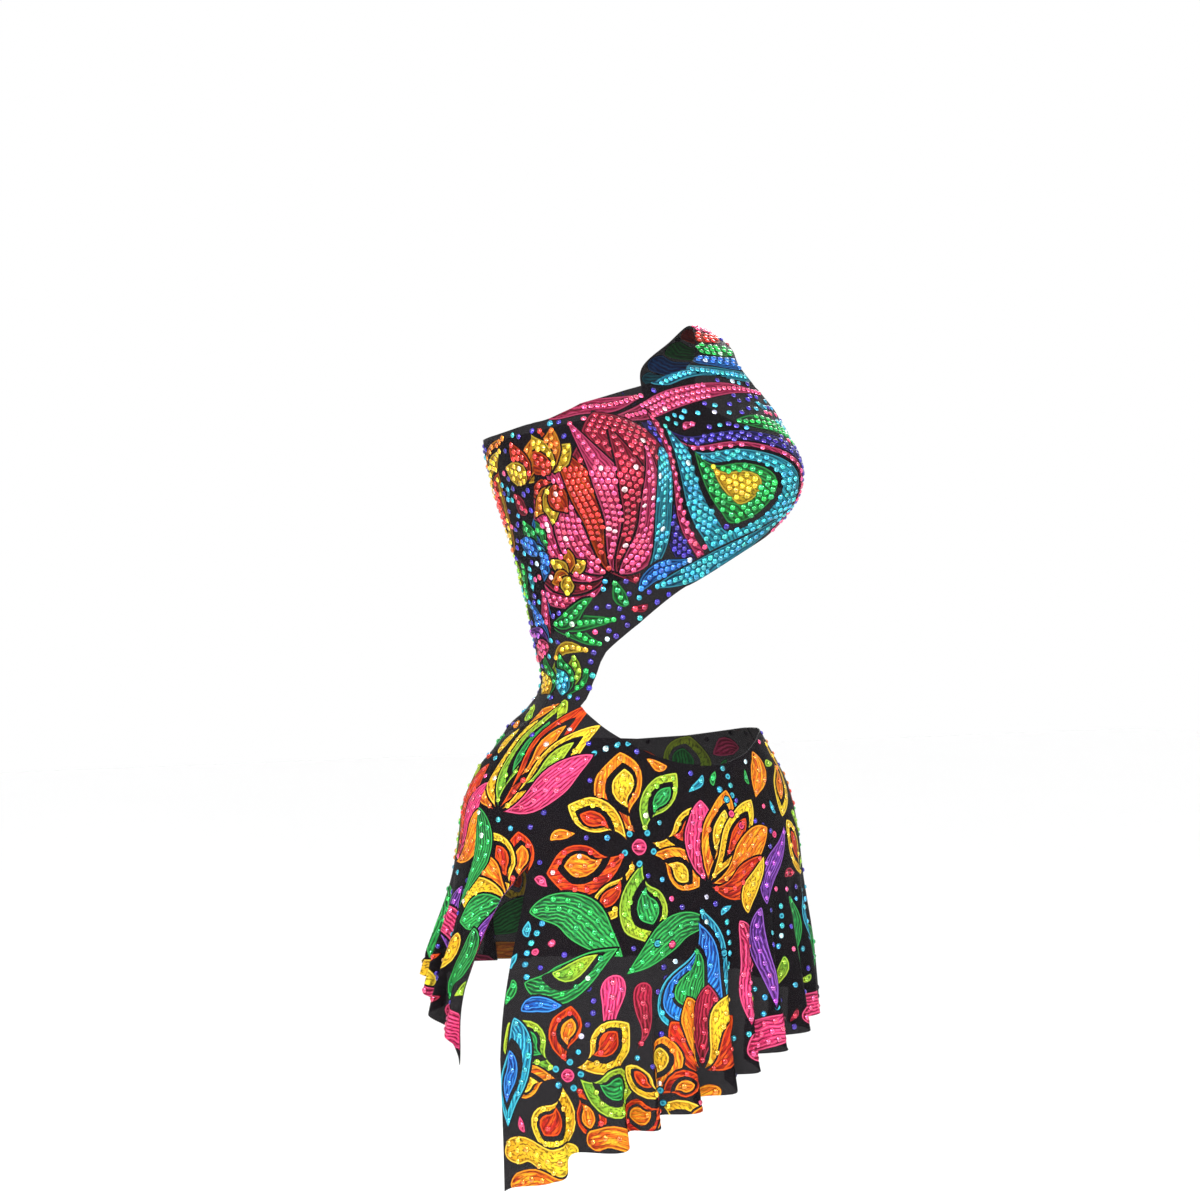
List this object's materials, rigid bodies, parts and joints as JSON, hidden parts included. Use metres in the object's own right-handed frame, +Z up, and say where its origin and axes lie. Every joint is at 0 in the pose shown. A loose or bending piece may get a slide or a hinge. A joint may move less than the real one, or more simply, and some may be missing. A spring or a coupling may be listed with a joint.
{
  "type": "one-shoulder cut-out mini dress",
  "caption": "One-shoulder mini dress in printed stretch mesh, with a bare waist, a fluted slanting hem and a thigh slit.",
  "frame": {"origin": "underside of the strap at its crest, where the wearer's left shoulder carries the dress", "axes": "+Z up the wearer's body, -Y out of the wearer's front, +X towards the wearer's left side, which has the strap"},
  "size_m": [0.4089, 0.3108, 0.8316],
  "materials": {
    "printed_mesh": "matte sheer knit with a coloured print and glued stones"
  },
  "bodies": {
    "root": {"bodice_front": "printed_mesh", "bodice_back": "printed_mesh", "skirt_front": "printed_mesh", "skirt_back": "printed_mesh"}
  },
  "joints": []
}
